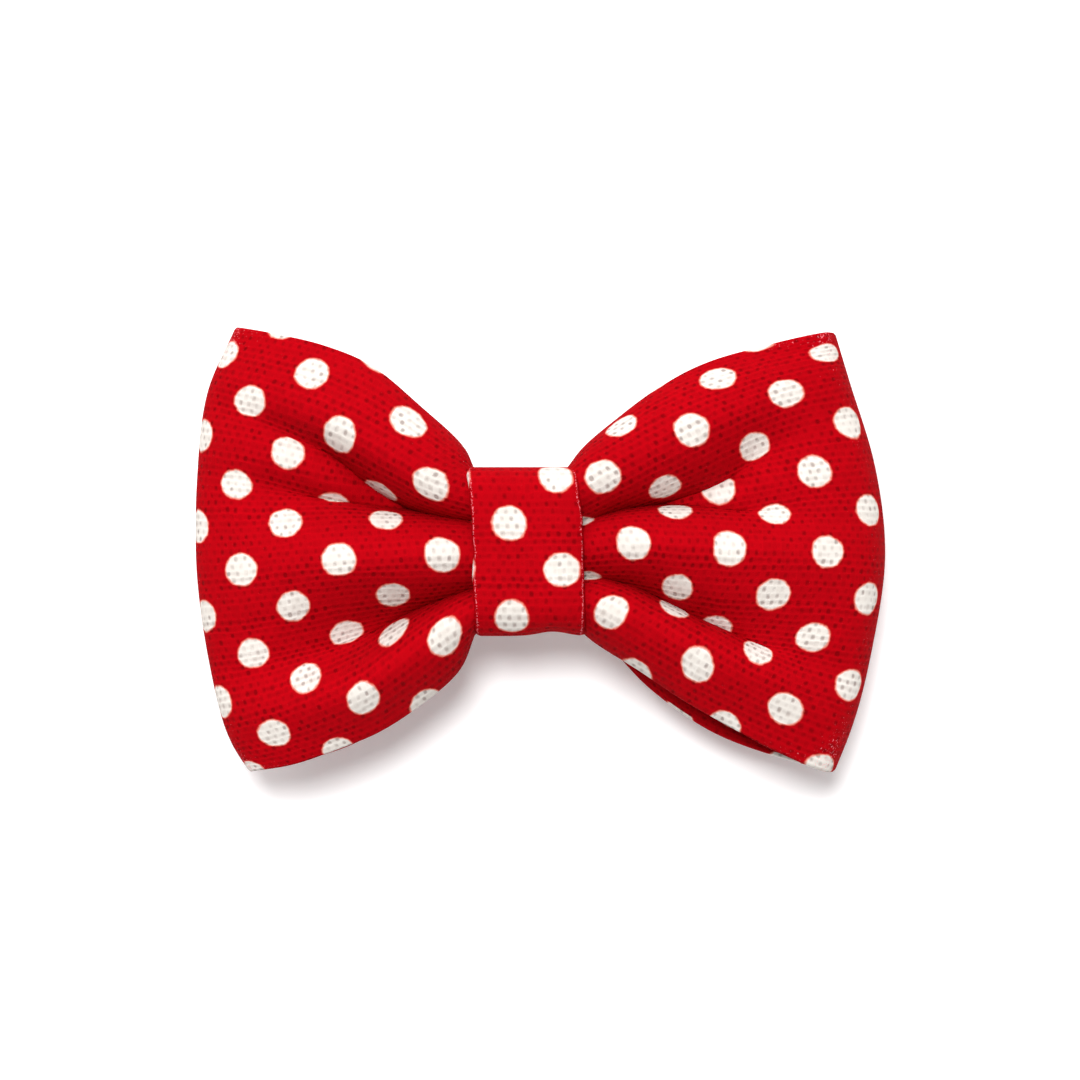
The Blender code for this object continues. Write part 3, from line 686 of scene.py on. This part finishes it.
def foldColumn(across, rowPlaces, lineHeights, lineDepths, soft):
    # one column of the cloth: round crests that face forward and steep flanks down to narrow creases
    places = smoothThrough(bow["rows"], rowPlaces, lineHeights)
    column = np.zeros((len(across), 3))
    plain = smoothThrough(bow["rows"], rowPlaces, across)
    plainDepth = smoothThrough(lineHeights, lineDepths, across, crested=True)
    for k in range(len(lineHeights) - 1):
        crest, crease = (k, k + 1) if k % 2 else (k + 1, k)
        inside = (across >= lineHeights[k] - 1e-9) & (across <= lineHeights[k + 1] + 1e-9)
        if not inside.any():
            continue
        length = abs(lineHeights[crease] - lineHeights[crest])
        t = np.clip(np.abs(across[inside] - lineHeights[crest]) / length, 0, 1)
        span = np.linalg.norm(places[crease] - places[crest])
        power = min(max(length / max(span, 0.01), 1.03), bow["foldSharpness"])
        share = 1 - (1 - t) ** power
        flat = places[crest] + (places[crease] - places[crest]) * share[:, None]
        column[inside, 0], column[inside, 2] = flat[:, 0], flat[:, 1]
        drop = flankDepth(t, power) * (1 - soft[inside]) + t * t * (3 - 2 * t) * soft[inside]
        column[inside, 1] = lineDepths[crest] + (lineDepths[crease] - lineDepths[crest]) * drop
    column[:, 0] += (plain[:, 0] - column[:, 0]) * soft
    column[:, 2] += (plain[:, 1] - column[:, 2]) * soft
    column[:, 1] += (plainDepth - column[:, 1]) * soft
    return column


def layBowCloth(along, across):
    # the tube's middle surface, and how much of it is front
    stations = np.array((0.0,) + bow["stations"] + bow["backStations"])
    leftRows, leftLines = wingLayout("left")
    rightRows, rightLines = wingLayout("right")
    allStations = np.concatenate([-stations[::-1], stations[1:]])
    rows = np.concatenate([leftRows[::-1], rightRows[1:]])
    middleLines = (leftLines[0] + rightLines[0]) / 2
    lines = np.concatenate([leftLines[:0:-1], middleLines[None], rightLines[1:]])
    rowsAlong = smoothThrough(allStations, rows, along)
    linesAlong = smoothThrough(allStations, lines, along)
    out = np.abs(along)
    upper = softStep(*bow["halvesMeet"], across)[None]
    opened = []
    for left, right in zip(bow["soften"]["left"], bow["soften"]["right"]):
        both = [bow["openShare"] * softStep(*reach, out)[:, None] for reach in (left, right)]
        opened.append(np.where(along[:, None] < 0, *both))
    soft = np.maximum(opened[0] * (1 - upper) + opened[1] * upper, softStep(*bow["sideFold"], out)[:, None])
    columns = [foldColumn(across, rowsAlong[i], linesAlong[i, :, 0], linesAlong[i, :, 1], soft[i])
               for i in range(len(along))]
    return np.stack(columns), 1 - softStep(*bow["frontEnds"], out)


def addWrinkles(grid, along, across, front):
    out = np.abs(along)
    near = np.exp(-np.clip(out - bow["stations"][0], 0, None) / bow["gatherReach"])
    near = near * softStep(*bow["gatherStart"], out) * front
    past = softStep(*bow["wrinkleStart"], out)
    loose = bow["backWrinkle"] + (1 - bow["backWrinkle"]) * front
    for i, u in enumerate(along):
        for j, v in enumerate(across):
            broad, fine, gather = (depth * clothNoise(u, v, pattern)
                                   for pattern, depth in (bow["broad"], bow["fine"], bow["gathers"]))
            grid[i, j, 1] += loose[i] * (broad + fine) * past[i] + gather * near[i]


def bowWear(out, edge):
    side, rim, corner = bow["sideWear"], bow["rimWear"], bow["cornerWear"]
    along = side[0] * fallOff(out - bow["stations"][-1], side[1])[:, None]
    rims = rim[0] * fallOff(edge, rim[1])[None]
    corners = corner[0] * fallOff(out - bow["cornerPlace"], corner[1])[:, None] * fallOff(edge, corner[2])[None]
    return np.clip(np.maximum(along, rims) + corners, 0, 1)


def makeBow():
    half, low, high = bow["backStations"][-1], bow["rows"][0], bow["rows"][-1]
    along = np.linspace(-half, half, round(2 * half / bow["grid"]) + 1)
    across = np.linspace(low, high, round((high - low) / bow["grid"]) + 1)
    grid, front = layBowCloth(along, across)
    addWrinkles(grid, along, across, front)
    worn = bowWear(np.abs(along), np.minimum(across - low, high - across))
    mesh = clothMesh("bow", softened(grid, 2), along, across, bow["thickness"], worn)
    return addPiece("bow", mesh, bowCotton), (2 * half * mm, (high - low + bow["thickness"]) * mm)


bowPiece, bowFlat = makeBow()
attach(bowPiece, "bow")
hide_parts("bow_cloth", "bow_interlining")

print("band")

band = {
    "thickness": 0.8,
    "halfWidth": 5.5,
    "frontThickness": 1.3,
    "front": -12.3,
    "back": 0.7,
    "lapped": 1.8,
    "halfHeight": 8.8,
    "backCorner": 1.8,
    "topCorner": 2.8,
    "bottomCorner": 3.4,
    "lap": 2.0,
    "grid": 0.35,
    "shift": -1.38,  # the front of the band sits off centre, leans and bends aside at its top
    "lean": -0.02,
    "bend": -0.0075,
    "sideStart": -1.0,  # the shift begins here, and is full this far behind the front
    "frontDepth": 1.5,
    "crown": 0.35,
    "edgeRoll": 0.25,
    "ripple": 0.22,
    "ripplePattern": (0.35, 7.0, 1.7),
    "dent": 0.22,
    "dentPattern": (0.22, 0.22, 8.8),
    "underside": (-7.0, -8.8),
    "notch": 0.5,
    "notchPlace": 1.3,
    "notchWidth": 2.2,
    "printPlace": (-1.97, 3.3),  # a spot's centre on the front
    "wear": 0.2,
    "sideWear": 0.45,
    "edgeWear": (2.4, 0.8, 0, 0, 0, 0, 0),  # round the edge, from the face to the back
}


def roundCorner(y, z, radius, start, steps=10):
    angles = [math.radians(start + 90 * k / steps) for k in range(steps + 1)]
    return [(y + radius * math.cos(a), z + radius * math.sin(a)) for a in angles]


def bandPath():
    top, b = band["halfHeight"], band
    path = [(b["back"], -top + b["backCorner"])]
    path += roundCorner(b["back"] - b["backCorner"], top - b["backCorner"], b["backCorner"], 0)
    path += roundCorner(b["front"] + b["topCorner"], top - b["topCorner"], b["topCorner"], 90)
    path += roundCorner(b["front"] + b["bottomCorner"], -top + b["bottomCorner"], b["bottomCorner"], 180)
    path += roundCorner(b["lapped"] - b["backCorner"], -top + b["backCorner"], b["backCorner"], 270)
    path.append((b["lapped"], -top + b["backCorner"] + b["lap"]))
    return np.array(path)


def makeBand():
    path = bandPath()
    length = np.concatenate([[0], np.cumsum(np.linalg.norm(np.diff(path, axis=0), axis=1))])
    along = np.linspace(0, length[-1], round(length[-1] / band["grid"]) + 1)
    y, z = np.interp(along, length, path[:, 0]), np.interp(along, length, path[:, 1])
    half = band["halfWidth"]
    across = np.linspace(-half, half, round(2 * half / band["grid"]) + 1)
    frontPart = softStep(band["sideStart"], band["front"] + band["frontDepth"], y)
    share = across / band["halfWidth"]
    grid = np.zeros((len(along), len(across), 3))
    for i in range(len(along)):
        left, right = (band["ripple"] * clothNoise(along[i], side, band["ripplePattern"]) for side in (-1, 1))
        edgeDrift = np.where(share < 0, -share * left, share * right)
        aside = band["shift"] + band["lean"] * z[i] + band["bend"] * max(z[i], 0) ** 2
        level = 1 - (z[i] / band["halfHeight"]) ** 2
        crown = band["crown"] * level * (1 - share ** 4) - band["edgeRoll"] * share ** 6
        grid[i, :, 0] = across + edgeDrift + frontPart[i] * aside
        grid[i, :, 1] = y[i] - frontPart[i] * crown
        grid[i, :, 2] = z[i]
        under = softStep(*band["underside"], z[i])
        for j, x in enumerate(grid[i, :, 0]):
            grid[i, j, 1] += band["dent"] * frontPart[i] * clothNoise(x, z[i], band["dentPattern"])
            grid[i, j, 2] += band["notch"] * under * fallOff(x - band["notchPlace"], band["notchWidth"])
    grid = softened(grid, 2)
    onFront = y <= band["front"] + 0.5
    printStart = along[np.argmin(np.abs(z - band["printPlace"][1]) + np.where(onFront, 0, 20))]
    rubbed = np.full((len(along), len(across)), band["wear"])
    rubbed[:, [0, -1]] = band["sideWear"]
    thickness = band["thickness"] + frontPart * (band["frontThickness"] - band["thickness"])
    mesh = clothMesh("band", grid, printStart - along, across - band["printPlace"][0], thickness, rubbed,
                     band["edgeWear"])
    for item in mesh.uv_layers["cloth"].data:
        item.uv = (item.uv[1], item.uv[0])  # the warp runs round the band
    return addPiece("band", mesh, bandCotton), (2 * band["halfWidth"] * mm, length[-1] * mm)


bandPiece, bandFlat = makeBand()
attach(bandPiece, "bow")
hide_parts("centre_band")

print("threads")


def startTree(name, inputs):
    tree = bpy.data.node_groups.new(name, "GeometryNodeTree")
    tree.interface.new_socket("Geometry", in_out="OUTPUT", socket_type="NodeSocketGeometry")
    identifiers = {}
    for socketName, kind in inputs:
        socket = tree.interface.new_socket(socketName, in_out="INPUT", socket_type="NodeSocket" + kind)
        identifiers[socketName] = socket.identifier
    return tree, tree.nodes.new("NodeGroupInput").outputs, tree.nodes.new("NodeGroupOutput").inputs, identifiers


def addTube(tree, line, radius, sides):
    profile = addNode(tree, "GeometryNodeCurvePrimitiveCircle", Resolution=sides, Radius=radius)
    tube = addNode(tree, "GeometryNodeCurveToMesh", Curve=line)
    feed(tree, profile.outputs[0], tube.inputs["Profile Curve"])
    feed(tree, True, tube.inputs["Fill Caps"])
    return tube.outputs[0]


def finishTree(tree, shape, given, out):
    realized = addNode(tree, "GeometryNodeRealizeInstances", Geometry=shape.outputs[0])
    smooth = addNode(tree, "GeometryNodeSetShadeSmooth", Geometry=realized.outputs[0])
    finish = addNode(tree, "GeometryNodeSetMaterial", Geometry=smooth.outputs[0], Material=given["Finish"])
    feed(tree, finish.outputs[0], out["Geometry"])


ply = {"count": 2, "aside": 0.48, "radius": 0.54}  # the last two as shares of the thread's radius


def makePlyTree():
    # winds spun plies round a line: a sewing thread
    tree, given, out, identifiers = startTree("pliedThread", (
        ("Line", "Geometry"), ("Radius", "Float"), ("Lay", "Float"),
        ("Step", "Float"), ("Finish", "Material")))
    resample = addNode(tree, "GeometryNodeResampleCurve", {"mode": "LENGTH"},
                       Curve=given["Line"], Length=given["Step"])
    parameter = addNode(tree, "GeometryNodeSplineParameter").outputs["Length"]
    turned = product(tree, calc(tree, "DIVIDE", parameter, given["Lay"]), 2 * math.pi)
    normal = addNode(tree, "GeometryNodeInputNormal").outputs[0]
    tangent = addNode(tree, "GeometryNodeInputTangent").outputs[0]
    join = tree.nodes.new("GeometryNodeJoinGeometry")
    plyRadius = product(tree, given["Radius"], ply["radius"])
    for strand in range(ply["count"]):
        spin = tree.nodes.new("ShaderNodeVectorRotate")
        feed(tree, normal, spin.inputs["Vector"])
        feed(tree, tangent, spin.inputs["Axis"])
        feed(tree, calc(tree, "ADD", turned, 2 * math.pi * strand / ply["count"]), spin.inputs["Angle"])
        aside = addNode(tree, "ShaderNodeVectorMath", {"operation": "SCALE"}, Vector=spin.outputs[0])
        feed(tree, product(tree, given["Radius"], ply["aside"]), aside.inputs["Scale"])
        moved = addNode(tree, "GeometryNodeSetPosition", Geometry=resample.outputs[0], Offset=aside.outputs[0])
        feed(tree, addTube(tree, moved.outputs[0], plyRadius, 6), join.inputs[0])
    finishTree(tree, join, given, out)
    return tree, identifiers


def makeStitchTree():
    # a row of slanting hand stitches, each a short arch of thread that dips into the cloth
    tree, given, out, identifiers = startTree("stitchRow", (
        ("Line", "Geometry"), ("Count", "Int"), ("Reach", "Float"), ("Rise", "Float"),
        ("Slant", "Float"), ("Unevenness", "Float"), ("Radius", "Float"),
        ("Seed", "Int"), ("Finish", "Material")))
    points = addNode(tree, "GeometryNodeCurveToPoints", Curve=given["Line"], Count=given["Count"])
    low = product(tree, given["Unevenness"], -1.0)
    uneven = tree.nodes.new("FunctionNodeRandomValue")
    uneven.data_type = "FLOAT_VECTOR"
    feed(tree, xyz(tree, low, 0.0, low), uneven.inputs[0])
    feed(tree, xyz(tree, given["Unevenness"], 0.0, given["Unevenness"]), uneven.inputs[1])
    feed(tree, given["Seed"], uneven.inputs["Seed"])
    moved = addNode(tree, "GeometryNodeSetPosition", Geometry=points.outputs[0], Offset=uneven.outputs[0])
    aside = product(tree, given["Reach"], given["Slant"])
    start = xyz(tree, product(tree, aside, -1.0), 0.0, product(tree, given["Reach"], -1.0))
    end = xyz(tree, aside, 0.0, given["Reach"])
    over = xyz(tree, 0.0, given["Rise"], 0.0)
    arch = addNode(tree, "GeometryNodeCurveQuadraticBezier", Resolution=10, Start=start, Middle=over, End=end)
    stitch = addTube(tree, arch.outputs[0], given["Radius"], 8)
    row = addNode(tree, "GeometryNodeInstanceOnPoints", Points=moved.outputs[0], Instance=stitch)
    finishTree(tree, row, given, out)
    return tree, identifiers


def runTree(name, points, madeTree, values):
    tree, identifiers = madeTree
    curve = bpy.data.curves.new(name + "Line", "CURVE")
    curve.dimensions = "3D"
    spline = curve.splines.new("POLY")
    spline.points.add(len(points) - 1)
    for knot, point in zip(spline.points, points):
        knot.co = (*point, 1)
    guide = bpy.data.objects.new(name + "Line", curve)
    bpy.context.scene.collection.objects.link(guide)
    modifier = guide.modifiers.new("tree", "NODES")
    modifier.node_group = tree
    for key, value in values.items():
        modifier[identifiers[key]] = value
    graph = bpy.context.evaluated_depsgraph_get()
    mesh = bpy.data.meshes.new_from_object(guide.evaluated_get(graph))
    guide.modifiers.remove(modifier)
    bpy.data.objects.remove(guide)
    mesh.name = name
    return addPiece(name, mesh, values["Finish"])


plyTree, stitchTree = makePlyTree(), makeStitchTree()

binding = {
    "turns": 5,
    "pitch": 0.6,
    "radius": 0.2,
    "front": -11.35,
    "back": -1.42,
    "halfHeight": 7.75,
    "corner": 0.9,
    "lay": 1.1,
    "step": 0.25,
}


def bindingPoints():
    b = binding
    middle, half = (b["front"] + b["back"]) / 2, (b["back"] - b["front"]) / 2 - b["corner"]
    tall = b["halfHeight"] - b["corner"]
    turn = []
    for y, z, start in ((half, tall, 0), (-half, tall, 90), (-half, -tall, 180), (half, -tall, 270)):
        turn += roundCorner(middle + y, z, b["corner"], start, 3)
    places = turn * b["turns"]
    width = b["pitch"] * b["turns"]
    return [(width * (k / (len(places) - 1) - 0.5) * mm, y * mm, z * mm) for k, (y, z) in enumerate(places)]


waistBinding = runTree("waistBinding", bindingPoints(), plyTree, {
    "Radius": binding["radius"] * mm, "Lay": binding["lay"] * mm, "Step": binding["step"] * mm, "Finish": redThread})
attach(waistBinding, "bow")
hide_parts("waist_thread")

handStitches = {
    "count": 9,
    "reach": 0.75,
    "rise": 0.28,
    "slant": 0.45,
    "uneven": 0.10,
    "radius": 0.14,
    "inset": 0.7,
    "above": 0.25,  # up from the lap's edge
    "sunk": 0.05,
    "seed": 4,
}


def makeHandStitches():
    s = handStitches
    z = (-band["halfHeight"] + band["backCorner"] + band["lap"] + s["above"]) * mm
    y = (band["lapped"] + band["thickness"] / 2 - s["sunk"]) * mm
    half = (band["halfWidth"] - s["inset"]) * mm
    return runTree("bandStitches", [(-half, y, z), (half, y, z)], stitchTree, {
        "Count": s["count"], "Reach": s["reach"] * mm, "Rise": s["rise"] * mm, "Slant": s["slant"],
        "Unevenness": s["uneven"] * mm, "Radius": s["radius"] * mm, "Seed": s["seed"], "Finish": redThread})


stitchPiece = makeHandStitches()
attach(stitchPiece, "bow")
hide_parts("band_stitches")

tacks = {"radius": 0.2, "strands": 3, "steps": 24, "lay": 0.9, "step": 0.15, "spread": 0.544}


def makeTack(node):
    # a few turns of thread through one sewing hole and round the plate's edge
    low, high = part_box(node)
    middle = (low + high) / 2
    reach = (high.z - low.z) / 2 - tacks["radius"] * mm
    points = []
    steps = tacks["steps"] * tacks["strands"]
    for k in range(steps + 1):
        angle = 2 * math.pi * k / tacks["steps"]
        x = middle.x + tacks["spread"] * mm * (k / steps - 0.5)
        points.append((x, middle.y + reach * math.cos(angle), middle.z + reach * math.sin(angle)))
    piece = runTree(node.replace("clip_tack", "tack"), points, plyTree, {
        "Radius": tacks["radius"] * mm, "Lay": tacks["lay"] * mm, "Step": tacks["step"] * mm, "Finish": redThread})
    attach(piece, "bow")
    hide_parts(node)


for sideName in ("left", "right"):
    for levelName in ("lower", "upper"):
        makeTack(f"clip_tack_{sideName}_{levelName}")

print("clip")

clip = {
    # the CAD's node, the piece, its body, the rounding of its edges and its finish; the spring has no body
    "pieces": (
        ("clip_base_jaw", "clipBase", "bow", 0.10, sheetNickel),
        ("clip_lever_jaw", "clipLever", "lever", 0.10, sheetNickel),
        ("clip_pivot_pin", "clipPin", "bow", 0.06, sheetNickel),
        ("clip_spring", "clipSpring", None, 0.0, wireNickel),
    ),
    "springTurn": 1.1,  # the coil winds up between these distances below and above the pin's middle
    "weld": 0.002,
    "flatAngle": 1,
    "sharpAngle": 30,
}


def finishMetal(node, name, body, edge, material):
    bm = bmesh.new()
    bm.from_mesh(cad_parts[node].data)
    bmesh.ops.remove_doubles(bm, verts=bm.verts, dist=clip["weld"] * mm)
    if edge:
        bmesh.ops.dissolve_limit(bm, angle_limit=math.radians(clip["flatAngle"]), verts=bm.verts, edges=bm.edges)
    mesh = bpy.data.meshes.new(name)
    bm.to_mesh(mesh)
    bm.free()
    mesh.shade_smooth()
    piece = addPiece(name, mesh, material)
    if edge:
        bevel = piece.modifiers.new("roundedEdge", "BEVEL")
        bevel.width = edge * mm
        bevel.segments = 2
        bevel.limit_method = "ANGLE"
        bevel.angle_limit = math.radians(clip["sharpAngle"])
        bevel.harden_normals = True
    if body is None:
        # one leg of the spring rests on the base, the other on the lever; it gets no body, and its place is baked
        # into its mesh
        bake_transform(piece)
    else:
        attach(piece, body)
    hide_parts(node)


for row in clip["pieces"]:
    finishMetal(*row)

bpy.context.scene.view_settings.view_transform = "Standard"
